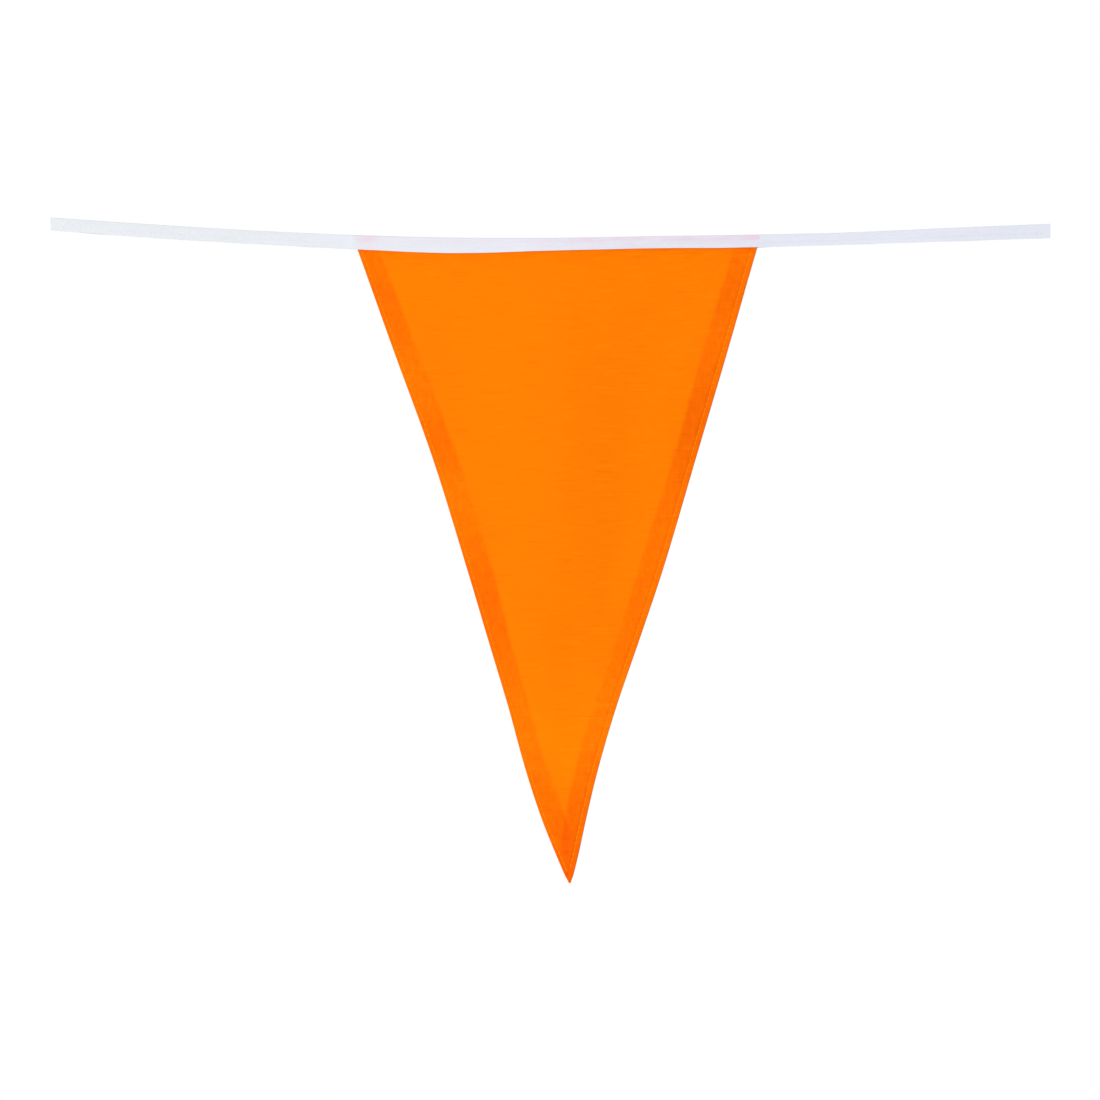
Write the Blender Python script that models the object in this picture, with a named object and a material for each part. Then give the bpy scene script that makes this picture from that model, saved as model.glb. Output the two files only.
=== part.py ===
# A length of bunting: one triangular cloth pennant, point down, on a folded tape.
# Metres, +Z up, +X to the viewer's right, +Y away from the viewer.
# The origin is on the tape's folded top edge, halfway between its two cut ends.

from collections import namedtuple
import math

import bmesh
import bpy

# Driving dimensions
TAPE_LENGTH = 0.500
PENNANT_DROP = 0.323
LAYER = 0.0010
HEM_LAYERS = 0.0016
POINT_LAYERS = 0.0021
GAP = 0.0003

# The tape over its length: its top edge's height, how deep its two legs hang,
# and how far it wanders back and forth
Station = namedtuple("Station", "x top legs depth")
TAPE = [
    Station(-0.250, 0.0103, 0.0065, 0.0010),
    Station(-0.200, 0.0069, 0.0068, 0.0016),
    Station(-0.150, 0.0039, 0.0068, 0.0019),
    Station(-0.100, 0.0016, 0.0071, 0.0016),
    Station(-0.050, 0.0002, 0.0078, 0.0009),
    Station(0.000, 0.0000, 0.0064, 0.0000),
    Station(0.050, 0.0009, 0.0061, 0.0007),
    Station(0.100, 0.0017, 0.0064, 0.0015),
    Station(0.150, 0.0029, 0.0061, 0.0018),
    Station(0.200, 0.0051, 0.0068, 0.0013),
    Station(0.250, 0.0071, 0.0071, 0.0007),
]

# The pennant at each distance down from the tape's top edge: where its folded
# sides are, how wide their hems are, and where the pressed centre crease runs
Row = namedtuple("Row", "drop left right hem_left hem_right crease")
PENNANT = [
    Row(0.000, -0.0991, 0.1053, 0.0105, 0.0113, 0.0078),
    Row(0.055, -0.0789, 0.0890, 0.0118, 0.0124, 0.0070),
    Row(0.110, -0.0589, 0.0727, 0.0124, 0.0112, 0.0055),
    Row(0.165, -0.0418, 0.0564, 0.0124, 0.0121, 0.0042),
    Row(0.200, -0.0314, 0.0447, 0.0108, 0.0110, 0.0044),
    Row(0.235, -0.0209, 0.0327, 0.0101, 0.0111, 0.0058),
    Row(0.265, -0.0127, 0.0239, 0.0108, 0.0110, 0.0068),
    Row(0.290, -0.0046, 0.0179, 0.0124, 0.0108, 0.0078),
    Row(0.310, 0.0034, 0.0136, 0.0124, 0.0108, 0.0088),
    Row(PENNANT_DROP, 0.0090, 0.0103, 0.0124, 0.0108, 0.0096),
]

# Soft folds in the panel, each along a line from head to foot. A positive depth
# is a trough away from the viewer, a negative one a swell towards the viewer.
Fold = namedtuple("Fold", "head_x head_z foot_x foot_z half_width depth")
FOLDS = [
    Fold(0.054, -0.010, 0.028, -0.225, 0.034, 0.0009),
    Fold(-0.048, -0.012, -0.014, -0.215, 0.030, 0.0007),
    Fold(0.080, -0.015, 0.050, -0.130, 0.020, -0.0005),
    Fold(-0.082, -0.015, -0.046, -0.150, 0.019, -0.0005),
    Fold(-0.012, -0.150, 0.006, -0.290, 0.018, -0.0006),
]
# Packed flat, the pennant was folded in two: both halves still slope back from
# the crease, most of all a hand's breadth below the tape
CREASE_SLOPE = 0.022
CREASE_ROUNDING = 0.0015
CREASE_FULL = 0.060
CREASE_FADE = 0.110
CREASE_FOOT = 0.205
# Below the middle the light point drifts back
SWING = 0.0080
SWING_START = 0.130
SWING_END = 0.388
# The stitched sides ripple a little, each in its own rhythm
RIPPLE = 0.0008
RIPPLE_REACH = 0.020
RIPPLE_END = 0.250
LEFT_RIPPLE_LENGTH = 0.085
RIGHT_RIPPLE_LENGTH = 0.106
RIGHT_RIPPLE_START = -0.034

# Where the two pieces meet
CHANNEL_EMPTY = GAP
CHANNEL_FILLED = LAYER + 2 * GAP
SLEEVE_LEFT = -0.100
SLEEVE_RIGHT = 0.108
SLEEVE_TAPER = 0.010
RAW_EDGE = LAYER + CHANNEL_FILLED / 2
SEAM_END = 0.0085
HEM_FULL = 0.0125
FOLDS_FULL = 0.070

# How finely each piece is divided
STATION_STEP = 0.010
BEND_STEPS = 6
HEM_COLUMNS = 2
FIELD_COLUMNS = 10
ROW_STEP = 0.0074
HEM_STEP = 0.0008
MERGE = 0.0004
ON_LINE = 0.00005

TAPE_WHITE = (0.80, 0.83, 0.87, 1.0)
PENNANT_ORANGE = (0.99, 0.22, 0.01, 1.0)
CLOTH_ROUGHNESS = 0.85


def clear_scene():
    for obj in list(bpy.data.objects):
        bpy.data.objects.remove(obj, do_unlink=True)


def cloth_material(name, color):
    material = bpy.data.materials.new(name)
    material.use_nodes = True
    shader = material.node_tree.nodes["Principled BSDF"]
    shader.inputs["Base Color"].default_value = color
    shader.inputs["Roughness"].default_value = CLOTH_ROUGHNESS
    shader.inputs["Metallic"].default_value = 0.0
    return material


def finish_object(name, bm, material):
    mesh = bpy.data.meshes.new(name)
    bm.to_mesh(mesh)
    bm.free()
    mesh.shade_smooth()
    mesh.set_sharp_from_angle(angle=math.radians(40))
    mesh.materials.append(material)
    obj = bpy.data.objects.new(name, mesh)
    bpy.context.collection.objects.link(obj)
    return obj


def read(table, column, place):
    """A column's value between a table's rows, on a smooth curve through them."""
    first = table[0]._fields[0]
    places = [getattr(row, first) for row in table]
    values = [getattr(row, column) for row in table]
    place = min(max(place, places[0]), places[-1])
    low = max(i for i in range(len(table) - 1) if places[i] <= place)

    def slope(i):
        before = max(i - 1, 0)
        after = min(i + 1, len(table) - 1)
        return (values[after] - values[before]) / (places[after] - places[before])

    span = places[low + 1] - places[low]
    t = (place - places[low]) / span
    rise = 3 * t**2 - 2 * t**3
    start_push = (t**3 - 2 * t**2 + t) * span * slope(low)
    end_push = (t**3 - t**2) * span * slope(low + 1)
    return values[low] * (1 - rise) + values[low + 1] * rise + start_push + end_push


def ease(value, start, end):
    """Rises softly from 0 at start to 1 at end."""
    t = min(max((value - start) / (end - start), 0.0), 1.0)
    return t * t * (3 - 2 * t)


# The tape: a hairpin section swept along its length

def channel_width(x):
    """The tape opens where it holds the pennant's top edge."""
    outside = max(SLEEVE_LEFT - x, x - SLEEVE_RIGHT, 0.0)
    closing = ease(outside, 0.0, SLEEVE_TAPER)
    return CHANNEL_FILLED + (CHANNEL_EMPTY - CHANNEL_FILLED) * closing


def tape_section(x):
    """The closed outline of one hairpin: two legs joined by a bend at the top."""
    top = read(TAPE, "top", x)
    foot = top - read(TAPE, "legs", x)
    depth = read(TAPE, "depth", x)
    inner = channel_width(x) / 2
    outer = inner + LAYER
    centre = top - outer
    outline = [(x, depth - outer, foot)]
    for i in range(BEND_STEPS + 1):
        angle = math.pi * (1 - i / BEND_STEPS)
        outline.append((x, depth + outer * math.cos(angle), centre + outer * math.sin(angle)))
    outline.append((x, depth + outer, foot))
    outline.append((x, depth + inner, foot))
    for i in range(BEND_STEPS + 1):
        angle = math.pi * i / BEND_STEPS
        outline.append((x, depth + inner * math.cos(angle), centre + inner * math.sin(angle)))
    outline.append((x, depth - inner, foot))
    return outline


def make_tape():
    bm = bmesh.new()
    start = -TAPE_LENGTH / 2
    ring = [bm.verts.new(point) for point in tape_section(start)]
    face = bm.faces.new(ring)
    steps = round(TAPE_LENGTH / STATION_STEP)
    for i in range(1, steps + 1):
        new = bmesh.ops.extrude_face_region(bm, geom=[face])["geom"]
        if i > 1:
            bmesh.ops.delete(bm, geom=[face], context="FACES_ONLY")
        face = next(part for part in new if isinstance(part, bmesh.types.BMFace))
        for vert, point in zip(face.verts, tape_section(start + i * STATION_STEP)):
            vert.co = point
    bmesh.ops.recalc_face_normals(bm, faces=bm.faces[:])
    return finish_object("tape", bm, cloth_material("tape_white", TAPE_WHITE))


# The pennant: a sheet laid out on its folds, then given its thickness

def lines_across(drop):
    """The sheet's lines at one row: sides, hem edges and the centre crease."""
    left = read(PENNANT, "left", drop)
    right = read(PENNANT, "right", drop)
    crease = read(PENNANT, "crease", drop)
    hem_left = min(left + read(PENNANT, "hem_left", drop), crease)
    hem_right = max(right - read(PENNANT, "hem_right", drop), crease)
    step_left = min(hem_left + HEM_STEP, crease)
    step_right = max(hem_right - HEM_STEP, crease)
    return [left, hem_left, step_left, crease, step_right, hem_right, right]


COLUMNS_BETWEEN_LINES = [HEM_COLUMNS, 1, FIELD_COLUMNS, FIELD_COLUMNS, 1, HEM_COLUMNS]


def column_x(column, drop):
    lines = lines_across(drop)
    for i, count in enumerate(COLUMNS_BETWEEN_LINES):
        if column <= count:
            return lines[i] + (lines[i + 1] - lines[i]) * column / count
        column -= count
    return lines[-1]


def row_drops():
    """Close rows at the tape, then even ones down to the point."""
    drops = [RAW_EDGE, (RAW_EDGE + SEAM_END) / 2, SEAM_END, HEM_FULL]
    count = round((PENNANT_DROP - HEM_FULL) / ROW_STEP)
    step = (PENNANT_DROP - HEM_FULL) / count
    return drops + [HEM_FULL + step * i for i in range(1, count + 1)]


def fold_depth(x, z):
    total = 0.0
    for fold in FOLDS:
        t = (z - fold.head_z) / (fold.foot_z - fold.head_z)
        if not 0 < t < 1:
            continue
        middle = fold.head_x + (fold.foot_x - fold.head_x) * t
        across = abs(x - middle) / fold.half_width
        if across < 1:
            total += fold.depth * math.cos(across * math.pi / 2) ** 2 * math.sin(t * math.pi)
    return total


def crease_depth(x, drop):
    """A low roof with its ridge on the crease, gone before the point."""
    across = math.hypot(x - read(PENNANT, "crease", drop), CREASE_ROUNDING)
    strength = ease(drop, 0, CREASE_FULL) * (1 - ease(drop, CREASE_FADE, CREASE_FOOT))
    return CREASE_SLOPE * strength * across


def edge_depth(x, drop):
    near_left = max(1 - (x - read(PENNANT, "left", drop)) / RIPPLE_REACH, 0.0)
    near_right = max(1 - (read(PENNANT, "right", drop) - x) / RIPPLE_REACH, 0.0)
    left_turn = 2 * math.pi * drop / LEFT_RIPPLE_LENGTH
    right_turn = 2 * math.pi * (drop - RIGHT_RIPPLE_START) / RIGHT_RIPPLE_LENGTH
    ripple = math.sin(left_turn) * near_left + math.sin(right_turn) * near_right
    return RIPPLE * ripple * (1 - ease(drop, RIPPLE_END, PENNANT_DROP))


def sheet_depth(x, drop):
    """The middle of the cloth: held by the tape above, folded and free below."""
    free = ease(drop, SEAM_END, FOLDS_FULL)
    held = read(TAPE, "depth", x) * (1 - ease(drop, SEAM_END, PENNANT_DROP))
    swing = SWING * ease(drop, SWING_START, SWING_END)
    folds = fold_depth(x, -drop) + crease_depth(x, drop) + edge_depth(x, drop)
    return held + swing + free * folds


def thickness(x, drop):
    lines = lines_across(drop)
    in_hem = x < lines[1] + ON_LINE or x > lines[-2] - ON_LINE
    field_closed = lines[-2] - lines[1] < ON_LINE
    full = POINT_LAYERS if field_closed else HEM_LAYERS if in_hem else LAYER
    return LAYER + (full - LAYER) * ease(drop, SEAM_END, HEM_FULL)


def make_pennant():
    drops = row_drops()
    columns = sum(COLUMNS_BETWEEN_LINES)
    bm = bmesh.new()
    bmesh.ops.create_grid(bm, x_segments=columns, y_segments=len(drops) - 1, size=0.5)
    thick = bm.verts.layers.float.new("thickness")
    for vert in bm.verts:
        column = round((vert.co.x + 0.5) * columns)
        drop = drops[round((0.5 - vert.co.y) * (len(drops) - 1))]
        x = column_x(column, drop)
        level = read(TAPE, "top", x) * (1 - ease(drop, SEAM_END, FOLDS_FULL))
        vert[thick] = thickness(x, drop)
        vert.co = (x, sheet_depth(x, drop) - LAYER / 2, level - drop)
    bmesh.ops.remove_doubles(bm, verts=bm.verts[:], dist=MERGE)
    new = bmesh.ops.extrude_face_region(bm, geom=bm.faces[:], use_keep_orig=True)["geom"]
    for part in new:
        if isinstance(part, bmesh.types.BMVert):
            part.co.y += part[thick]
    bmesh.ops.recalc_face_normals(bm, faces=bm.faces[:])
    return finish_object("pennant", bm, cloth_material("pennant_cloth", PENNANT_ORANGE))


clear_scene()
make_tape()
make_pennant()
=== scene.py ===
# %% [markdown]
# A length of bunting hangs in still air: one orange pennant, point down, on a white tape.
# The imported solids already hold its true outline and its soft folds.
# This script reads both from them, and dresses them as thin cloth, folded tape and thread.

# %% Load the frame
import math
from bisect import bisect_right
from collections import namedtuple

import bmesh
import bpy
from mathutils import Matrix, Vector, noise
from mathutils.bvhtree import BVHTree


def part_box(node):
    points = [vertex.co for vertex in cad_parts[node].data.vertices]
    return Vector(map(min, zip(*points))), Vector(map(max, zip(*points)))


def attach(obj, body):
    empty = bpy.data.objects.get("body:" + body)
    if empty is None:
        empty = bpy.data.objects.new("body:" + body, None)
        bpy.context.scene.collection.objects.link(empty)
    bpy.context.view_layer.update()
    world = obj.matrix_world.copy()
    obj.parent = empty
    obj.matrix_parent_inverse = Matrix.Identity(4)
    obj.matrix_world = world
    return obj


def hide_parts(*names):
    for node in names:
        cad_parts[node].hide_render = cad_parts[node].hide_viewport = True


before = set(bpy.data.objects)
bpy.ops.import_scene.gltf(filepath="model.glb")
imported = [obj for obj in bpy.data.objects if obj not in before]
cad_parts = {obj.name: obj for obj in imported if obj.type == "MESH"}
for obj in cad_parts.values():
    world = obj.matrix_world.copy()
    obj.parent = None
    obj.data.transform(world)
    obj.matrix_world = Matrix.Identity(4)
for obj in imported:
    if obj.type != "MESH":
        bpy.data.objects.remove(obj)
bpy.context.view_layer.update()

MM = 0.001
tape_low, tape_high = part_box("tape")
pennant_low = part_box("pennant")[0]

# %% [markdown]
# The picture is taken face on with a long lens, so the pennant keeps its true proportions.
# A level camera on the picture's middle needs no shift, and its lens is worked out from
# the width of cloth and air that the picture takes in.

# %% Place the camera
PICTURE_WIDTH = 0.550
PICTURE_MIDDLE = Vector((-0.00025, 0, -0.15605))
CAMERA_DISTANCE = 2.6


def place_camera():
    lens = bpy.data.cameras.new("camera")
    lens.lens = lens.sensor_width * CAMERA_DISTANCE / PICTURE_WIDTH
    camera = bpy.data.objects.new("camera", lens)
    camera.location = PICTURE_MIDDLE - Vector((0, CAMERA_DISTANCE, 0))
    camera.rotation_euler = (math.radians(90), 0, 0)
    bpy.context.collection.objects.link(camera)
    bpy.context.scene.camera = camera
    return camera


print("lens:", round(place_camera().data.lens), "mm")

# %% [markdown]
# Every look here is built from a few kinds of node, so short helpers make and join them.
# A value given to a helper may be a plain number or another node's output.

# %% Helpers for materials
def put(tree, kind, inputs, **settings):
    """A node with its settings, and its inputs set to values or joined to outputs."""
    node = tree.nodes.new(kind)
    for name, value in settings.items():
        setattr(node, name, value)
    for name, value in inputs.items():
        if isinstance(value, bpy.types.NodeSocket):
            tree.links.new(value, node.inputs[name])
        else:
            node.inputs[name].default_value = value
    return node


def sums(tree, operation, *values):
    inputs = dict(enumerate(values))
    return put(tree, "ShaderNodeMath", inputs, operation=operation).outputs[0]


def fade(tree, value, start, end):
    """Goes softly from 0 at start to 1 at end."""
    inputs = {"Value": value, "From Min": start, "From Max": end}
    node = put(tree, "ShaderNodeMapRange", inputs, interpolation_type="SMOOTHSTEP")
    return node.outputs["Result"]


def held_number(tree, name):
    """A number kept on the mesh's points."""
    return put(tree, "ShaderNodeAttribute", {}, attribute_name=name).outputs["Fac"]


def patches(tree, place, sizes, detail=2.0, shift=0.0):
    """Soft noise from 0 to 1 whose patches have the given sizes along X, Y and Z."""
    scale = [1 / size for size in sizes]
    moved = put(tree, "ShaderNodeMapping", {"Vector": place, "Scale": scale,
                                            "Location": (shift, shift, shift)})
    inputs = {"Vector": moved.outputs[0], "Scale": 1.0, "Detail": detail}
    return put(tree, "ShaderNodeTexNoise", inputs).outputs["Fac"]


def mix_colours(tree, share, first, second):
    node = put(tree, "ShaderNodeMix", {}, data_type="RGBA")
    for name, value in (("Factor_Float", share), ("A_Color", first), ("B_Color", second)):
        socket = next(s for s in node.inputs if s.identifier == name)
        if isinstance(value, bpy.types.NodeSocket):
            tree.links.new(value, socket)
        else:
            socket.default_value = value
    return next(s for s in node.outputs if s.identifier == "Result_Color")


def brighten(tree, colour, factor):
    """Multiplies a colour by a number."""
    if not isinstance(colour, bpy.types.NodeSocket):
        colour = colour[:3]
    node = put(tree, "ShaderNodeVectorMath", {0: colour}, operation="SCALE")
    socket = node.inputs["Scale"]
    if isinstance(factor, bpy.types.NodeSocket):
        tree.links.new(factor, socket)
    else:
        socket.default_value = factor
    return node.outputs[0]


def finish_surface(tree, shader, relief, strength, distance, roughness, shine):
    """Raises the relief on the surface, and sets how matt it is and how much it mirrors."""
    inputs = {"Height": relief, "Strength": strength, "Distance": distance}
    bump = put(tree, "ShaderNodeBump", inputs)
    tree.links.new(bump.outputs[0], shader.inputs["Normal"])
    shader.inputs["Roughness"].default_value = roughness
    shader.inputs["Specular IOR Level"].default_value = shine


def new_material(name):
    material = bpy.data.materials.new(name)
    material.use_nodes = True
    tree = material.node_tree
    place = put(tree, "ShaderNodeTexCoord", {}).outputs["Object"]
    return material, tree, tree.nodes["Principled BSDF"], place


# %% [markdown]
# Cloth this thin shows its folds only by small changes of light. An even white surrounding
# would flatten them, and a hard lamp would draw dark lines. A broad soft lamp far out on
# the left, with white surroundings to fill the shadows, shows the folds and stays gentle.
# A second lamp stands opposite, behind the cloth, so that its back isn't left dull.
# The air behind is plain white, and the pale floor lies far below the hanging cloth.
# Far out the floor glows and melts into the white air, so that no view ends in a hard line.

# %% Light the studio
FILL_LIGHT = 0.722
FRONT_ENERGY = 120
BACK_ENERGY = 85
LAMP_SIZE = 1.3
FRONT_LAMP = Vector((-2.8, -2.2, 0.6))
BACK_LAMP = Vector((2.2, 2.8, 0.9))
FLOOR_HEIGHT = -1.6
FLOOR_RADIUS = 10.8
FLOOR_MELTS = 3.0
FLOOR_GONE = 8.5
FLOOR_SEGMENTS = 96
FLOOR_COLOUR = (0.86, 0.86, 0.85, 1)
WHITE = (1, 1, 1, 1)
BLACK = (0, 0, 0, 1)


def light_surroundings():
    world = bpy.data.worlds.new("white_air")
    world.use_nodes = True
    tree = world.node_tree
    seen = put(tree, "ShaderNodeLightPath", {}).outputs["Is Camera Ray"]
    range_inputs = {"Value": seen, "To Min": FILL_LIGHT, "To Max": 1.0}
    strength = put(tree, "ShaderNodeMapRange", range_inputs)
    air = tree.nodes["Background"]
    air.inputs["Color"].default_value = WHITE
    tree.links.new(strength.outputs["Result"], air.inputs["Strength"])
    bpy.context.scene.world = world


def hang_lamp(name, place, energy):
    lamp = bpy.data.lights.new(name, "AREA")
    lamp.shape = "DISK"
    lamp.size = LAMP_SIZE
    lamp.energy = energy
    obj = bpy.data.objects.new(name, lamp)
    aim = PICTURE_MIDDLE - place
    obj.location = place
    obj.rotation_euler = aim.to_track_quat("-Z", "Y").to_euler()
    bpy.context.collection.objects.link(obj)


def pale_floor():
    material, tree, shader, place = new_material("pale_floor")
    away = put(tree, "ShaderNodeVectorMath", {0: place}, operation="LENGTH").outputs["Value"]
    melted = fade(tree, away, FLOOR_MELTS, FLOOR_GONE)
    colour = mix_colours(tree, melted, FLOOR_COLOUR, BLACK)
    tree.links.new(colour, shader.inputs["Base Color"])
    tree.links.new(melted, shader.inputs["Emission Strength"])
    shader.inputs["Emission Color"].default_value = WHITE
    shader.inputs["Roughness"].default_value = 0.9
    shader.inputs["Specular IOR Level"].default_value = 0.0
    return material


def lay_floor():
    bm = bmesh.new()
    bmesh.ops.create_circle(bm, cap_ends=True, segments=FLOOR_SEGMENTS, radius=FLOOR_RADIUS)
    mesh = bpy.data.meshes.new("floor")
    bm.to_mesh(mesh)
    bm.free()
    mesh.materials.append(pale_floor())
    floor = bpy.data.objects.new("floor", mesh)
    floor.location.z = FLOOR_HEIGHT
    bpy.context.collection.objects.link(floor)


bpy.context.scene.view_settings.view_transform = "Standard"
light_surroundings()
hang_lamp("front_lamp", FRONT_LAMP, FRONT_ENERGY)
hang_lamp("back_lamp", BACK_LAMP, BACK_ENERGY)
lay_floor()
print("front lamp:", round((PICTURE_MIDDLE - FRONT_LAMP).length, 1), "m away")

# %% [markdown]
# Every soft shape here follows a measured line: the tape's top edge, its lower edge and
# its wander back and forth, and the pennant's two sides. Each line is read from its solid
# slice by slice. A smooth curve through the slices keeps the solid's corners away.

# %% Cut a solid with a plane
ALONG_X = 0
ALONG_Z = 2
NEAR_END = 0.00002


def solid_edges(name):
    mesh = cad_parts[name].data
    return [[mesh.vertices[i].co.copy() for i in edge.vertices] for edge in mesh.edges]


def slice_solid(edges, axis, place):
    """The points where a solid's edges cross a plane."""
    found = []
    for a, b in edges:
        before, after = a[axis] - place, b[axis] - place
        if (before < 0) != (after < 0):
            found.append(a.lerp(b, before / (before - after)))
    return found


def even_places(start, end, step):
    """Evenly spaced places, a hair inside both ends."""
    count = round((end - start) / step)
    inside = end - start - 2 * NEAR_END
    return [start + NEAR_END + inside * i / count for i in range(count + 1)]


# %% Smooth curves through a few values
def curve(places, values):
    """A function that runs smoothly through the values, and stays level past both ends."""
    last = len(places) - 1
    slopes = []
    for i in range(last + 1):
        before, after = max(i - 1, 0), min(i + 1, last)
        slopes.append((values[after] - values[before]) / (places[after] - places[before]))

    def at(place):
        place = min(max(place, places[0]), places[last])
        low = min(bisect_right(places, place), last) - 1
        span = places[low + 1] - places[low]
        t = (place - places[low]) / span
        rise = 3 * t**2 - 2 * t**3
        pushes = (t**3 - 2 * t**2 + t) * slopes[low] + (t**3 - t**2) * slopes[low + 1]
        return values[low] * (1 - rise) + values[low + 1] * rise + span * pushes

    return at


def curves(rows):
    """One curve for each column of a table after its first."""
    columns = list(zip(*rows))
    return [curve(columns[0], values) for values in columns[1:]]


def ease(value, start, end):
    """Rises softly from 0 at start to 1 at end."""
    t = min(max((value - start) / (end - start), 0.0), 1.0)
    return t * t * (3 - 2 * t)


# %% Read the tape's lines from its solid
TAPE_SLICE = 0.0093


def tape_rows():
    """At each slice: its place, top edge, lower edge, and how far back its middle is."""
    edges = solid_edges("tape")
    rows = []
    for x in even_places(tape_low.x, tape_high.x, TAPE_SLICE):
        found = slice_solid(edges, ALONG_X, x)
        depths = [point.y for point in found]
        heights = [point.z for point in found]
        rows.append((x, max(heights), min(heights), (min(depths) + max(depths)) / 2))
    return rows


tape_slices = tape_rows()
tape_top, tape_foot, tape_depth = curves(tape_slices)
legs = [round((top - foot) / MM, 1) for x, top, foot, depth in tape_slices[::9]]
print(len(tape_slices), "slices, tape heights", legs, "mm")

# %% [markdown]
# The pennant's sides bend a little inwards near the point, as its stitched hems pull.
# The outline is read by slicing the solid level by level and keeping the outermost points.

# %% Read the pennant's outline from its solid
PENNANT_SLICE = 0.008
FIRST_SLICE = 0.003
POINT_DROP = -pennant_low.z
SEAM = 0.0085
LEVEL_DROP = 0.070
TIP_LENGTH = 0.0050
TIP_TUCK = 0.27
TIP_BEND = 2.3


def outline_rows():
    """At each depth below the origin: the solid's leftmost and rightmost places."""
    edges = solid_edges("pennant")
    rows = []
    for depth in even_places(FIRST_SLICE, POINT_DROP, PENNANT_SLICE):
        found = [point.x for point in slice_solid(edges, ALONG_Z, -depth)]
        rows.append((depth, min(found), max(found)))
    return rows


left_side, right_side = curves(outline_rows())


def row_height(x, drop):
    """Rows near the tape follow its sag, and lower ones are level."""
    return tape_top(x) * (1 - ease(drop, SEAM, LEVEL_DROP)) - drop


def sides_at(drop):
    """Where a row's two ends are, found in a few steps as their heights differ."""
    left, right = left_side(drop), right_side(drop)
    for _ in range(3):
        left = left_side(-row_height(left, drop))
        right = right_side(-row_height(right, drop))
    into_tip = max((drop - POINT_DROP) / TIP_LENGTH + 1, 0.0)
    tucked = (right - left) * TIP_TUCK * into_tip**TIP_BEND
    return left + tucked, right - tucked


print("width under the tape:", round((right_side(SEAM) - left_side(SEAM)) / MM, 1), "mm")

# %% [markdown]
# The cloth's folds are broad and shallow, as cloth this light hangs almost flat.
# They are read from the solid through a guide: a coarse grid dropped on the solid's front
# and then smoothed, so that the solid's flat facets don't print through the thin cloth.

# %% Smooth the solid's folds into a guide
SOLID_LAYER = 0.0010
GUIDE_COLUMNS = 72
GUIDE_ROWS = 160
GUIDE_SMOOTHINGS = 14
GUIDE_MARGIN = 0.003
GUIDE_INSIDE = 0.4 * MM
TOWARDS_BACK = Vector((0, 1, 0))


def solid_surface(name):
    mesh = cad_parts[name].data
    corners = [vert.co for vert in mesh.vertices]
    return BVHTree.FromPolygons(corners, [face.vertices[:] for face in mesh.polygons])


def guide_surface():
    solid = solid_surface("pennant")
    bm = bmesh.new()
    bmesh.ops.create_grid(bm, x_segments=GUIDE_COLUMNS, y_segments=GUIDE_ROWS, size=0.5)
    for vert in bm.verts:
        across = vert.co.x + 0.5
        drop = FIRST_SLICE + (POINT_DROP - FIRST_SLICE) * (0.5 - vert.co.y)
        left, right = left_side(drop), right_side(drop)
        x = left + (right - left) * across
        inside = min(max(x, left + GUIDE_INSIDE), right - GUIDE_INSIDE)
        eye = Vector((inside, -1, max(-drop, -POINT_DROP + GUIDE_INSIDE)))
        front = solid.ray_cast(eye, TOWARDS_BACK)[0]
        spread = GUIDE_MARGIN * (2 * across - 1)
        vert.co = (x + spread, front.y + SOLID_LAYER / 2, -drop)
    for _ in range(GUIDE_SMOOTHINGS):
        bmesh.ops.smooth_vert(bm, verts=bm.verts[:], factor=0.5, use_axis_y=True)
    tree = BVHTree.FromBMesh(bm)
    bm.free()
    return tree


guide = guide_surface()

# %% [markdown]
# Over those folds lie the small marks of handling: the sharp line where the pennant was
# folded in two and pressed, drag lines from the two top corners, and a light gathering
# just under the seam. Each is a soft trough or swell along a line, set where the
# cloth shows it.

# %% Small creases, placed one by one
Crease = namedtuple("Crease", "head_x head_z foot_x foot_z half_width depth")
CREASES = [
    Crease(-0.090, -0.012, -0.040, -0.085, 0.007, -0.00022),
    Crease(-0.078, -0.010, -0.018, -0.062, 0.006, 0.00016),
    Crease(0.094, -0.012, 0.048, -0.092, 0.007, -0.00022),
    Crease(0.080, -0.010, 0.030, -0.055, 0.006, 0.00015),
    Crease(-0.052, -0.118, 0.040, -0.126, 0.004, 0.00010),
    Crease(-0.030, -0.196, 0.036, -0.188, 0.004, -0.00009),
    Crease(-0.020, -0.150, 0.002, -0.262, 0.006, 0.00012),
    Crease(0.040, -0.120, 0.018, -0.236, 0.007, 0.00012),
]
PRESSED_LINE = curve((0.0, 0.08, 0.16, 0.21), (0.0078, 0.0064, 0.0042, 0.0048))
PRESSED_RIDGE = 0.00012
PRESSED_REACH = 0.013
PRESSED_HEAD = 0.050
PRESSED_FOOT = 0.205
GATHER_PITCH = 0.0085
GATHER_WANDER = 6
GATHER_DEPTH = 0.00016
GATHER_REACH = 0.016
GATHERS_END = SEAM + GATHER_REACH
UNEVEN_WIDTH = 0.024
UNEVEN_HEIGHT = 0.040
UNEVEN_DEPTH = 0.00016
UNEVEN_START = 0.030


def crease_depth(x, z):
    total = 0.0
    for crease in CREASES:
        run_x, run_z = crease.foot_x - crease.head_x, crease.foot_z - crease.head_z
        from_x, from_z = x - crease.head_x, z - crease.head_z
        length = math.hypot(run_x, run_z)
        t = (from_x * run_x + from_z * run_z) / length**2
        across = (from_x * run_z - from_z * run_x) / length / crease.half_width
        if 0 < t < 1 and abs(across) < 1:
            total += crease.depth * (1 - across**2) ** 2 * math.sin(t * math.pi)
    return total


def pressed_depth(x, drop):
    """The iron-sharp top of the centre crease, which the smoothed guide has lost."""
    across = abs(x - PRESSED_LINE(drop)) / PRESSED_REACH
    there = ease(drop, SEAM, PRESSED_HEAD) * (1 - ease(drop, PRESSED_FOOT / 2, PRESSED_FOOT))
    return -PRESSED_RIDGE * there * max(1 - across, 0.0) ** 2


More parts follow.
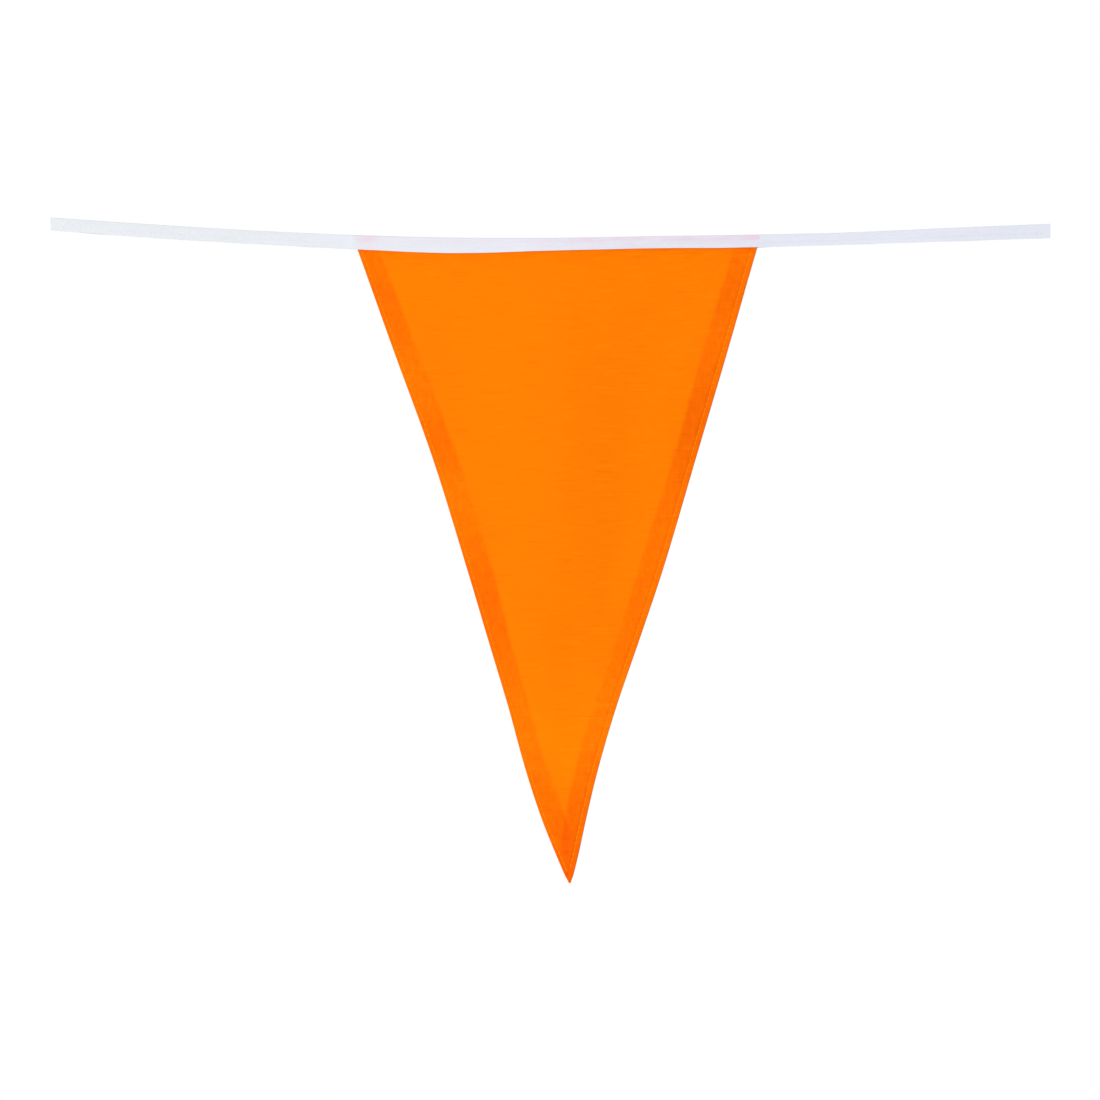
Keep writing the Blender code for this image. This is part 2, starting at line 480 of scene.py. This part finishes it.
def gather_depth(x, drop):
    """Short gathers under the seam, never quite evenly apart."""
    there = ease(drop, SEAM - MM, SEAM + 2 * MM) * (1 - ease(drop, SEAM, GATHERS_END))
    wander = GATHER_WANDER * noise.noise(Vector((x * 40, 0, 3)))
    strength = 0.4 + noise.noise(Vector((x * 25, 6, 0)))
    return GATHER_DEPTH * there * strength * math.sin(2 * math.pi * x / GATHER_PITCH + wander)


def uneven_depth(x, z, drop):
    lumps = noise.noise(Vector((x / UNEVEN_WIDTH, 7.0, z / UNEVEN_HEIGHT)))
    return UNEVEN_DEPTH * lumps * ease(drop, SEAM, SEAM + UNEVEN_START)


def cloth_depth(x, z, drop):
    """The middle of the panel's cloth at a place on the pennant."""
    level = max(min(z, -FIRST_SLICE), -POINT_DROP)
    guided = guide.ray_cast(Vector((x, -1, level)), TOWARDS_BACK)[0].y
    small = crease_depth(x, z) + pressed_depth(x, drop)
    return guided + small + gather_depth(x, drop) + uneven_depth(x, z, drop)


# %% [markdown]
# The pennant is one triangle of thin plain-woven cloth. Its two long sides are folded to
# the back and sewn down, and its raw top edge goes up inside the tape.
# The whole cut is one grid, so the hems are truly folded: each row runs from one raw edge,
# round the left fold, over the panel, round the right fold and to the other raw edge.
# Near the point both hems lie over each other, the right one behind the left one.

# %% Shape the hems
LEFT_INSET = 0.0018
RIGHT_INSET = 0.0024
STITCH_PULL = 0.00013
PULL_WIDTH = 0.0012
PUCKER_LENGTH = 0.0055
PUCKER_DEPTH = 0.00013


def hem_depth(reach, inset, drop, seed):
    """The stitches pull a groove into the hem, and the cloth puckers beside it."""
    across = (reach - inset) / PULL_WIDTH
    groove = STITCH_PULL * max(1 - across**2, 0.0) ** 2
    wave = noise.noise(Vector((reach * 60, seed, drop / PUCKER_LENGTH)))
    pucker = PUCKER_DEPTH * wave * (1 - ease(reach, inset, 6 * inset))
    return (groove + pucker) * ease(drop, SEAM, SEAM + 4 * MM)


# %% Lay out one row of the pennant
CLOTH = 0.00028
PLY = 0.00042
TURN = 0.00024
RAW_EDGE = 0.0018
FLAP_COLUMNS = 12
TURN_COLUMNS = 4
HEM_COLUMNS = 16
FIELD_COLUMNS = 36
SEAM_ROWS = 50
PANEL_ROWS = 345
FLAP_CLEAR = 0.0006
FLAP_LIFT = 0.00030
RAGGED = 0.25 * MM
STEP_START = 0.2 * MM
STEP_END = 1.4 * MM
PANEL_SHARE = 0.45
# Drop, width of the left hem, width of the right hem
left_hem, right_hem = curves([
    (0.000, 0.0105, 0.0113),
    (0.055, 0.0118, 0.0124),
    (0.110, 0.0124, 0.0112),
    (0.165, 0.0124, 0.0121),
    (0.210, 0.0106, 0.0109),
    (0.250, 0.0103, 0.0112),
    (0.290, 0.0124, 0.0106),
    (0.323, 0.0124, 0.0106),
])
Place = namedtuple("Place", "x back")


def hem_widths(drop):
    ragged = RAGGED * noise.noise(Vector((drop * 120, 1, 0)))
    return left_hem(drop) + ragged, right_hem(drop) - ragged


def flap_lift(reach, drop, seed):
    """The loose inner part of a hem stands off the panel a little, in slow waves."""
    wave = 0.5 + noise.noise(Vector((seed, drop * 28, 0)))
    return FLAP_LIFT * max(wave, 0.0) * ease(reach, 0.003, 0.012) * ease(drop, 0.012, 0.03)


def hem_reaches(start, end, count):
    """Distances from a fold to its hem's edge, close together where the stitches run."""
    return [start + (end - start) * (i / count) ** 1.5 for i in range(1, count + 1)]


def row_places(drop):
    """Across one row: where each point lies, and how far behind the panel's middle."""
    left, right = sides_at(drop)
    width = right - left
    hem_left, hem_right = hem_widths(drop)
    room = max(width - FLAP_CLEAR, width * 0.5)
    flap_left, flap_right = min(hem_left, room), min(hem_right, room)
    panel_left = min(hem_left, width * PANEL_SHARE)
    panel_right = min(hem_right, width * PANEL_SHARE)
    turn = min(TURN, width * 0.2)

    def behind(x):
        """The right hem steps back over the left hem's flap where they overlap."""
        past = x - left - flap_left
        return PLY * (2 - ease(past, STEP_START, STEP_END))

    places = []
    for reach in reversed(hem_reaches(turn, flap_left, FLAP_COLUMNS)):
        places.append(Place(left + reach, PLY + flap_lift(reach, drop, 2.0)))
    for i in range(TURN_COLUMNS):
        angle = math.pi * i / TURN_COLUMNS
        back = PLY / 2 * (1 + math.cos(angle))
        places.append(Place(left + turn - turn * math.sin(angle), back))
    for reach in [turn] + hem_reaches(turn, panel_left, HEM_COLUMNS):
        places.append(Place(left + reach, 0.0))
    field = width - panel_left - panel_right
    for i in range(1, FIELD_COLUMNS + 1):
        places.append(Place(left + panel_left + field * i / FIELD_COLUMNS, 0.0))
    for reach in reversed(hem_reaches(turn, panel_right, HEM_COLUMNS)[:-1]):
        places.append(Place(right - reach, 0.0))
    stack = behind(right - turn)
    for i in range(TURN_COLUMNS + 1):
        angle = math.pi * i / TURN_COLUMNS
        back = stack / 2 * (1 - math.cos(angle))
        places.append(Place(right - turn + turn * math.sin(angle), back))
    for reach in hem_reaches(turn, flap_right, FLAP_COLUMNS):
        x = right - reach
        places.append(Place(x, behind(x) + flap_lift(reach, drop, 9.0)))
    return places


def row_drop(row):
    """Rows lie close together in the seam and its gathers, and wider apart below."""
    if row <= SEAM_ROWS:
        return RAW_EDGE + (GATHERS_END - RAW_EDGE) * row / SEAM_ROWS
    return GATHERS_END + (POINT_DROP - GATHERS_END) * (row - SEAM_ROWS) / PANEL_ROWS


print("a middle row has", len(row_places(0.15)), "points")

# %% Objects from finished meshes
CRISP_ANGLE = math.radians(60)


def new_object(name, bm, material):
    mesh = bpy.data.meshes.new(name)
    bm.to_mesh(mesh)
    bm.free()
    mesh.shade_smooth()
    mesh.set_sharp_from_angle(angle=CRISP_ANGLE)
    mesh.materials.append(material)
    obj = bpy.data.objects.new(name, mesh)
    bpy.context.collection.objects.link(obj)
    return obj


def give_thickness(obj, thickness):
    """Solidifies a sheet for good, and keeps its cut edges crisp."""
    solidify = obj.modifiers.new("thickness", "SOLIDIFY")
    solidify.thickness = thickness
    solidify.offset = 0.0
    shell = obj.evaluated_get(bpy.context.evaluated_depsgraph_get())
    mesh = bpy.data.meshes.new_from_object(shell)
    obj.modifiers.clear()
    obj.data = mesh
    mesh.set_sharp_from_angle(angle=CRISP_ANGLE)


# %% [markdown]
# Painted light and shade: the hems are painted deep where their two layers would lie tight,
# and pale where air would stand between them and let light through. The single cloth near
# the point is painted the same way. A smooth curve down each hem keeps these places.

# %% Make the pennant's sheet
# Drop, painted light through the left hem, through the panel, through the right hem
left_painted_light, panel_painted_light, right_painted_light = curves([
    (0.010, 1.03, 1.00, 1.04),
    (0.030, 0.93, 1.00, 0.93),
    (0.048, 0.98, 1.00, 1.01),
    (0.070, 1.13, 1.00, 0.95),
    (0.085, 1.05, 1.00, 0.88),
    (0.102, 0.93, 1.00, 0.90),
    (0.130, 1.15, 1.00, 0.98),
    (0.180, 0.89, 1.00, 1.02),
    (0.205, 0.96, 1.00, 1.07),
    (0.245, 1.14, 1.10, 1.16),
    (0.268, 1.05, 1.05, 1.03),
    (0.284, 0.98, 0.98, 0.92),
    (0.323, 0.90, 0.98, 0.90),
])
# Painted shade: a thin shadow line and mottled shade painted on the cloth just under the tape's
# edge
SEAM_SHADE = 0.16
SEAM_SHADE_WIDTH = 0.7 * MM
SEAM_MOTTLED_SHADE = 0.14
SEAM_MOTTLED_SHADE_WIDTH = 5 * MM


def seam_shade(x, below):
    """Painted shade under the tape's edge: a thin line of painted shadow, and painted mottled
    shade just below it.
    """
    line = SEAM_SHADE * math.exp(-(below / SEAM_SHADE_WIDTH) ** 2)
    lumps = 0.5 + noise.noise(Vector((x * 130, 2, below * 600)))
    mottled_shade = SEAM_MOTTLED_SHADE * max(lumps, 0.0) * math.exp(-(below / SEAM_MOTTLED_SHADE_WIDTH) ** 2)
    return 1 - line - mottled_shade


def make_pennant(material):
    columns = 2 * (FLAP_COLUMNS + TURN_COLUMNS + HEM_COLUMNS) + FIELD_COLUMNS
    bm = bmesh.new()
    bmesh.ops.create_grid(bm, x_segments=columns, y_segments=SEAM_ROWS + PANEL_ROWS, size=0.5)
    names = ("from_left", "from_right", "left_hem", "right_hem",
             "left_painted_light", "panel_painted_light", "right_painted_light")
    layers = [bm.verts.layers.float.new(name) for name in names]
    rows = {}
    for vert in bm.verts:
        row = round((0.5 - vert.co.y) * (SEAM_ROWS + PANEL_ROWS))
        column = round((vert.co.x + 0.5) * columns)
        drop = row_drop(row)
        if row not in rows:
            lights = left_painted_light(drop), panel_painted_light(drop), right_painted_light(drop)
            rows[row] = row_places(drop), sides_at(drop), hem_widths(drop), lights
        places, (left, right), (hem_left, hem_right), lights = rows[row]
        x = places[column].x
        z = row_height(x, drop)
        # the painted shadow under the tape's edge darkens the painted light numbers kept below
        shade = seam_shade(x, tape_foot(x) - z)
        held = (x - left, right - x, hem_left, hem_right, *(shade * v for v in lights))
        for layer, value in zip(layers, held):
            vert[layer] = value
        back = cloth_depth(x, z, drop) + places[column].back
        back += hem_depth(x - left, LEFT_INSET, drop, 1.0)
        back += hem_depth(right - x, RIGHT_INSET, drop, 8.0)
        vert.co = (x, back, z)
    area = sum(face.calc_area() for face in bm.faces)
    print("pennant cloth:", round(area * 1e4, 1), "square cm,", len(bm.faces), "faces")
    obj = new_object("pennant_cloth", bm, material)
    give_thickness(obj, CLOTH)
    return obj


# %% [markdown]
# The tape is a white ribbon about 14 mm wide, folded lengthwise and sewn shut.
# Its section is a hairpin: a front leg, a tight bend at the top and a back leg.
# It opens where it holds the pennant, and a little more at the hems' double cloth.
# A grid wrapped round that section keeps the ribbon one piece from end to end.

# %% Make the tape's ribbon
RIBBON = 0.00034
LEG_COLUMNS = 10
BEND_COLUMNS = 6
RIBBON_STATIONS = 500
EMPTY_GAP = 0.00006
CLOTH_GAP = 0.00010
SLEEVE_TAPER = 0.007
FRONT_SWELL = 0.10 * MM
BACK_SWELL = 0.08 * MM
EDGE_RIPPLE = 0.12 * MM
BACK_RIPPLE = 1.6
SLEEVE_LEFT, SLEEVE_RIGHT = sides_at(RAW_EDGE)


def over_cloth(x, taper):
    rise = ease(x, SLEEVE_LEFT - taper, SLEEVE_LEFT)
    return rise * (1 - ease(x, SLEEVE_RIGHT, SLEEVE_RIGHT + taper))


def over_hem(x):
    hem_left, hem_right = hem_widths(SEAM)
    on_left = 1 - ease(x - SLEEVE_LEFT, hem_left, hem_left + 3 * MM)
    on_right = 1 - ease(SLEEVE_RIGHT - x, hem_right, hem_right + 3 * MM)
    return max(on_left, on_right) * over_cloth(x, SLEEVE_TAPER)


def ribbon_place(x, around):
    """A point on the ribbon's middle: around runs from 0, front foot, to 1, back foot."""
    top, foot = tape_top(x), tape_foot(x)
    full = over_cloth(x, SLEEVE_TAPER)
    front = (EMPTY_GAP + RIBBON) / 2 + full * (CLOTH / 2 + CLOTH_GAP - EMPTY_GAP / 2)
    back = front + PLY * over_hem(x)
    radius = (front + back) / 2
    leg = LEG_COLUMNS / (2 * LEG_COLUMNS + BEND_COLUMNS)
    crown = top - RIBBON / 2 - radius
    ripple = EDGE_RIPPLE * noise.noise(Vector((x * 55, 4, 0)))
    if around <= leg:
        t = around / leg
        swell = FRONT_SWELL * math.sin(t * math.pi)
        return Vector((x, -front - swell, foot + ripple + (crown - foot - ripple) * t))
    if around >= 1 - leg:
        t = (1 - around) / leg
        swell = BACK_SWELL * math.sin(t * math.pi)
        behind = foot - BACK_RIPPLE * ripple
        return Vector((x, back + swell, behind + (crown - behind) * t))
    angle = math.pi * (around - leg) / (1 - 2 * leg)
    middle = (back - front) / 2
    return Vector((x, middle - radius * math.cos(angle), crown + radius * math.sin(angle)))


# The pennant's colour glows through the ribbon, most where the two lie close together
pink_along = curve(
    (-0.100, -0.092, -0.083, -0.060, -0.030, 0.000, 0.030, 0.060, 0.090, 0.108),
    (0.3, 0.9, 0.35, 0.30, 0.35, 0.5, 0.85, 0.7, 0.8, 0.9),
)
pink_up = curve((0.0, 0.12, 0.30, 0.50, 0.75, 0.95), (0.4, 0.4, 0.35, 0.45, 1.0, 0.5))


def make_tape(material):
    columns = 2 * LEG_COLUMNS + BEND_COLUMNS
    length = tape_high.x - tape_low.x
    bm = bmesh.new()
    bmesh.ops.create_grid(bm, x_segments=RIBBON_STATIONS, y_segments=columns, size=0.5)
    pink = bm.verts.layers.float.new("pink")
    for vert in bm.verts:
        x = length * vert.co.x
        place = ribbon_place(x, vert.co.y + 0.5)
        height = (place.z - tape_foot(x)) / (tape_top(x) - tape_foot(x))
        vert[pink] = pink_along(x) * pink_up(height) * over_cloth(x, MM)
        vert.co = place + Vector((0, tape_depth(x), 0))
    area = sum(face.calc_area() for face in bm.faces)
    print("tape ribbon:", round(area / length / MM, 1), "mm wide,", len(bm.faces), "faces")
    obj = new_object("tape_ribbon", bm, material)
    give_thickness(obj, RIBBON)
    return obj


# %% [markdown]
# A sewing row is a line of short stitches that lie flat on the cloth and dip in at each end.
# Each stitch is a small bead with few faces, drawn out along the row, and all the stitches
# of a row are joined in one mesh. Their ends are found by looking straight at the finished
# cloth from the front and from behind, so the thread lies on the real surface.

# %% Sew a row of stitches
STITCH = 0.0029
STITCH_SHARE = 0.90
ORANGE_THREAD = 0.00048
WHITE_THREAD = 0.00034
FLATTENED = 0.32
SUNK = 0.20
BEAD_SIDES = 8
BEAD_RINGS = 6
STRAY = 0.12 * MM


def surface_of(obj):
    return BVHTree.FromObject(obj, bpy.context.evaluated_depsgraph_get())


def touch(surface, x, z, side):
    """Where a look along +Y (side -1) or -Y (side 1) first meets the cloth."""
    return surface.ray_cast(Vector((x, side, z)), Vector((0, -side, 0)))[0]


def add_stitch(bm, start, end, thread):
    """A bead, filled out towards its ends, drawn out from start to end, flat on the cloth."""
    run = end - start
    along = run.normalized()
    outward = (TOWARDS_BACK - along * along.y).normalized()
    turn = Matrix((outward.cross(along), outward, along)).transposed().to_4x4()
    size = Matrix.Diagonal((thread / 2, thread / 2 * FLATTENED, run.length / 2, 1))
    place = Matrix.Translation((start + end) / 2) @ turn @ size
    bead = bmesh.ops.create_uvsphere(bm, u_segments=BEAD_SIDES, v_segments=BEAD_RINGS, radius=1)
    for vert in bead["verts"]:
        fuller = max(math.hypot(vert.co.x, vert.co.y), 0.01) ** -0.5
        vert.co = place @ Vector((vert.co.x * fuller, vert.co.y * fuller, vert.co.z))


def sew(name, path, surfaces, thread, material):
    """path gives the row's (x, z) at a distance along it, until it returns None."""
    bm = bmesh.new()
    count = 0
    while path(count * STITCH) and path((count + 1) * STITCH):
        a, b = Vector(path(count * STITCH)), Vector(path((count + 1) * STITCH))
        stray = STRAY * noise.noise(Vector((count * 0.7, 5, 0)))
        for surface, side in surfaces:
            ends = []
            for share in ((1 - STITCH_SHARE) / 2, (1 + STITCH_SHARE) / 2):
                x, z = a.lerp(b, share)
                hit = touch(surface, x + stray, z, side)
                if hit:
                    ends.append(hit + Vector((0, side * thread * FLATTENED * (0.5 - SUNK), 0)))
            if len(ends) == 2:
                add_stitch(bm, *ends, thread)
        count += 1
    print(name, "has", count, "stitches on each face")
    return new_object(name, bm, material)


# %% [markdown]
# Materials. The cloth's colour holds painted shade: where the hems double it, less light
# would shine through, so it is painted deeper and redder, and deepest at the point with three
# layers.
# The layers are known from how far a place is from each fold, so those distances are kept
# on the mesh and the shader turns them into soft-edged bands.
# The weave is drawn at its real scale from the piece's own coordinates.
#
# Plain weave: threads cross one over, one under. Sines of X and Z give the round backs of
# upright and level threads, and the sign of their product says which one lies on top.
# A little noise bends the rows, as no loom beats every thread alike.

# %% Draw a plain weave
WEAVE_MIDDLE = 0.55
DIP = 0.45
DRIFT_SIZE = 12
DRIFT = 0.9


def weave(tree, place, pitch):
    """Heights of a plain weave from 0 to 1, with its threads along X and Z."""
    inputs = {"Vector": place, "Scale": 1 / (DRIFT_SIZE * pitch), "Detail": 1.0}
    drift = put(tree, "ShaderNodeTexNoise", inputs).outputs["Color"]
    push = put(tree, "ShaderNodeVectorMath", {0: drift}, operation="SCALE")
    push.inputs["Scale"].default_value = DRIFT * pitch
    bent = put(tree, "ShaderNodeVectorMath", {0: place, 1: push.outputs[0]}, operation="ADD")
    parts = put(tree, "ShaderNodeSeparateXYZ", {0: bent.outputs[0]})
    waves = []
    for axis in ("X", "Z"):
        turn = sums(tree, "MULTIPLY", parts.outputs[axis], math.pi / pitch)
        waves.append(sums(tree, "SINE", turn))
    upright, level = (sums(tree, "ABSOLUTE", wave) for wave in waves)
    on_top = sums(tree, "GREATER_THAN", sums(tree, "MULTIPLY", *waves), 0.0)
    heights = []
    for across, along in ((upright, level), (level, upright)):
        crown = sums(tree, "MULTIPLY_ADD", along, 1 - DIP, DIP)
        heights.append(sums(tree, "MULTIPLY", sums(tree, "SQRT", across), crown))
    gap = sums(tree, "SUBTRACT", heights[0], heights[1])
    return sums(tree, "MULTIPLY_ADD", gap, on_top, heights[1])


# %% The pennant's orange cloth
THREAD_PITCH = 0.00034
ONE_LAYER = (0.752, 0.1580, 0.0005, 1)
TWO_LAYERS = (0.752, 0.1270, 0.0005, 1)
THREE_LAYERS = (0.745, 0.1080, 0.0008, 1)
RED_SHARE = 0.25
HEM_BLUR = 0.0013
HEM_WOBBLE = 0.0008
GROOVE_SHADE_PLACE = 0.0010
GROOVE_SHADE_WIDTH = 0.0009
GROOVE_SHADE = -0.06
CLOUD_SIZES = (0.045, 0.05, 0.06)
CLOUD_GAIN = 0.05
HEM_CLOUD_SIZES = (0.0022, 0.02, 0.0045)
HEM_CLOUD_GAIN = 0.50
SLUB_SIZES = (0.018, 0.02, 0.0011)
SLUB_GAIN = 0.09
FINE_SIZES = (0.006, 0.02, 0.0006)
FINE_GAIN = 0.14
WEAVE_SHADE_GAIN = 0.16
MATT = 0.95
FAINT_SHINE = 0.02


def orange_cloth():
    material, tree, shader, place = new_material("orange_cloth")
    wobble = patches(tree, place, (0.004, 0.01, 0.012))
    hems = []
    groove_shade = []
    for side, stitches in (("left", LEFT_INSET), ("right", RIGHT_INSET)):
        distance = held_number(tree, "from_" + side)
        past_edge = sums(tree, "SUBTRACT", distance, held_number(tree, side + "_hem"))
        past_edge = sums(tree, "MULTIPLY_ADD", wobble, 2 * HEM_WOBBLE, past_edge)
        hems.append(fade(tree, past_edge, HEM_WOBBLE + HEM_BLUR, HEM_WOBBLE - HEM_BLUR))
        # painted shade beside each sewing row, where the stitches pull a groove
        beside = sums(tree, "SUBTRACT", distance, stitches + GROOVE_SHADE_PLACE)
        beside = sums(tree, "ABSOLUTE", beside)
        groove_shade.append(fade(tree, beside, GROOVE_SHADE_WIDTH, 0.0))
    one_hem = sums(tree, "MAXIMUM", *hems)
    both_hems = sums(tree, "MINIMUM", *hems)
    # painted shade: doubled cloth is painted deeper, and the point's three layers deepest
    colour = mix_colours(tree, one_hem, ONE_LAYER, TWO_LAYERS)
    colour = mix_colours(tree, both_hems, colour, THREE_LAYERS)

    # painted light and shade through the panel and the hems, read from the mesh
    through = held_number(tree, "panel_painted_light")
    for share, name in zip(hems, ("left_painted_light", "right_painted_light")):
        gain = sums(tree, "SUBTRACT", held_number(tree, name), through)
        through = sums(tree, "MULTIPLY_ADD", gain, share, through)

    clouds = patches(tree, place, CLOUD_SIZES)
    hem_clouds = patches(tree, place, HEM_CLOUD_SIZES, shift=3.0)
    slubs = patches(tree, place, SLUB_SIZES, detail=1.0)
    fine = patches(tree, place, FINE_SIZES, detail=1.0, shift=5.0)
    threads = weave(tree, place, THREAD_PITCH)
    light = sums(tree, "MULTIPLY_ADD", clouds, CLOUD_GAIN, 1 - CLOUD_GAIN / 2)
    light = sums(tree, "MULTIPLY_ADD", fade(tree, slubs, 0.58, 0.72), SLUB_GAIN, light)
    light = sums(tree, "MULTIPLY_ADD", fade(tree, slubs, 0.40, 0.28), -SLUB_GAIN, light)
    light = sums(tree, "MULTIPLY_ADD", sums(tree, "SUBTRACT", fine, 0.5), FINE_GAIN, light)
    uneven_hem = sums(tree, "MULTIPLY", sums(tree, "SUBTRACT", hem_clouds, 0.5), one_hem)
    light = sums(tree, "MULTIPLY_ADD", uneven_hem, HEM_CLOUD_GAIN, light)
    # painted groove shade beside the stitches
    light = sums(tree, "MULTIPLY_ADD", sums(tree, "MAXIMUM", *groove_shade), GROOVE_SHADE, light)
    # painted shade and light: the weave's low places are painted darker, its thread crowns
    # paler
    ridges = sums(tree, "SUBTRACT", threads, WEAVE_MIDDLE)
    light = sums(tree, "MULTIPLY_ADD", ridges, WEAVE_SHADE_GAIN, light)
    deeper = sums(tree, "SUBTRACT", sums(tree, "MULTIPLY", light, through), 1.0)
    red = sums(tree, "MULTIPLY_ADD", deeper, RED_SHARE, 1.0)
    rest = sums(tree, "ADD", deeper, 1.0)
    gain = put(tree, "ShaderNodeCombineXYZ", {"X": red, "Y": rest, "Z": rest}).outputs[0]
    colour = put(tree, "ShaderNodeVectorMath", {0: colour, 1: gain}, operation="MULTIPLY")
    tree.links.new(colour.outputs[0], shader.inputs["Base Color"])

    relief = sums(tree, "MULTIPLY_ADD", slubs, 0.8, threads)
    finish_surface(tree, shader, relief, 0.5, 0.07 * MM, MATT, FAINT_SHINE)
    return material


# %% The tape's white ribbon
RIBBON_PITCH = 0.00030
RIBBON_STREAKS = (0.012, 0.02, 0.003)
RIBBON_CLOUD_SIZES = (0.030, 0.02, 0.004)
RIBBON_CLOUD_GAIN = 0.06
RIBBON_WEAVE_SHADE_GAIN = 0.07
LEFT_WHITE = (0.557, 0.581, 0.607, 1)
RIGHT_PAINTED_COOL_WHITE = (0.586, 0.606, 0.674, 1)
PINK_THROUGH = (0.610, 0.470, 0.545, 1)


def white_ribbon():
    material, tree, shader, place = new_material("white_ribbon")
    along = put(tree, "ShaderNodeSeparateXYZ", {0: place}).outputs["X"]
    # painted light: the ribbon is painted paler and bluer towards its right end, evening out
    # the front lamp's fall-off and standing for a cool light from the right
    colour = mix_colours(tree, fade(tree, along, -0.25, 0.12), LEFT_WHITE, RIGHT_PAINTED_COOL_WHITE)
    streaks = patches(tree, place, RIBBON_STREAKS)
    uneven = sums(tree, "MULTIPLY_ADD", fade(tree, streaks, 0.35, 0.65), 0.6, 0.4)
    share = sums(tree, "MULTIPLY", held_number(tree, "pink"), uneven)
    colour = mix_colours(tree, share, colour, PINK_THROUGH)
    threads = weave(tree, place, RIBBON_PITCH)
    clouds = patches(tree, place, RIBBON_CLOUD_SIZES)
    light = sums(tree, "MULTIPLY_ADD", clouds, RIBBON_CLOUD_GAIN, 1 - RIBBON_CLOUD_GAIN / 2)
    # painted shade and light: the weave's low places are painted darker, its thread crowns
    # paler
    ridges = sums(tree, "SUBTRACT", threads, WEAVE_MIDDLE)
    light = sums(tree, "MULTIPLY_ADD", ridges, RIBBON_WEAVE_SHADE_GAIN, light)
    tree.links.new(brighten(tree, colour, light), shader.inputs["Base Color"])
    finish_surface(tree, shader, threads, 0.35, 0.06 * MM, 0.7, 0.25)
    return material


# %% Sewing threads
THREAD_ORANGE = (0.82, 0.200, 0.0010, 1)
THREAD_WHITE = (0.60, 0.62, 0.67, 1)
PLY_SCALE = 700.0
PLY_SLANT = 0.6
PLY_SHADE_GAIN = 0.14


def sewing_thread(name, colour):
    """Thread is spun from plies, which show as fine slanting ridges."""
    material, tree, shader, place = new_material(name)
    slant = put(tree, "ShaderNodeMapping", {"Vector": place, "Rotation": (0, PLY_SLANT, 0)})
    plies = put(tree, "ShaderNodeTexWave", {"Vector": slant.outputs[0], "Scale": PLY_SCALE})
    # painted shade in the plies' grooves, paler on their crowns
    light = sums(tree, "MULTIPLY_ADD", plies.outputs["Fac"], PLY_SHADE_GAIN, 1 - PLY_SHADE_GAIN / 2)
    tree.links.new(brighten(tree, colour, light), shader.inputs["Base Color"])
    finish_surface(tree, shader, plies.outputs["Fac"], 0.20, 0.03 * MM, 0.6, 0.03)
    return material


# %% Build the pennant and the tape
pennant = make_pennant(orange_cloth())
ribbon = make_tape(white_ribbon())

# %% Sew the hems and the tape
FIRST_STITCH = 0.0065
ABOVE_POINT = 0.005
FROM_TAPE_END = 0.001
TAPE_STITCH_HEIGHT = 0.36


def side_path(side, inset):
    """The sewing row beside one of the pennant's folds, from the tape to the point."""
    first = Vector((side(SEAM), -SEAM))
    last = Vector((side(POINT_DROP), -POINT_DROP))
    steepness = (first.y - last.y) / (first - last).length

    def at(distance):
        drop = FIRST_STITCH + distance * steepness
        width = right_side(drop) - left_side(drop)
        if drop > POINT_DROP - ABOVE_POINT or width < 2 * abs(inset):
            return None
        return side(drop) + inset, -drop

    return at


def tape_path(distance):
    x = tape_low.x + FROM_TAPE_END + distance
    if x > tape_high.x - FROM_TAPE_END:
        return None
    return x, tape_foot(x) + (tape_top(x) - tape_foot(x)) * TAPE_STITCH_HEIGHT


orange_thread = sewing_thread("orange_thread", THREAD_ORANGE)
white_thread = sewing_thread("white_thread", THREAD_WHITE)
FRONT = -1
BACK = 1
cloth_faces = [(surface_of(pennant), side) for side in (FRONT, BACK)]
ribbon_faces = [(surface_of(ribbon), side) for side in (FRONT, BACK)]
left_path = side_path(left_side, LEFT_INSET)
right_path = side_path(right_side, -RIGHT_INSET)
left_row = sew("left_hem_stitches", left_path, cloth_faces, ORANGE_THREAD, orange_thread)
right_row = sew("right_hem_stitches", right_path, cloth_faces, ORANGE_THREAD, orange_thread)
tape_row = sew("tape_stitches", tape_path, ribbon_faces, WHITE_THREAD, white_thread)

# %% [markdown]
# All the pieces hang together, so they ride on the part's one body. The cloth sheets take
# the places of their solids. The pennant's cut is a triangle with a hem allowance on each
# long side, and the ribbon is a plain strip.

for piece in (pennant, ribbon, left_row, right_row, tape_row):
    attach(piece, "root")
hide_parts("pennant")
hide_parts("tape")
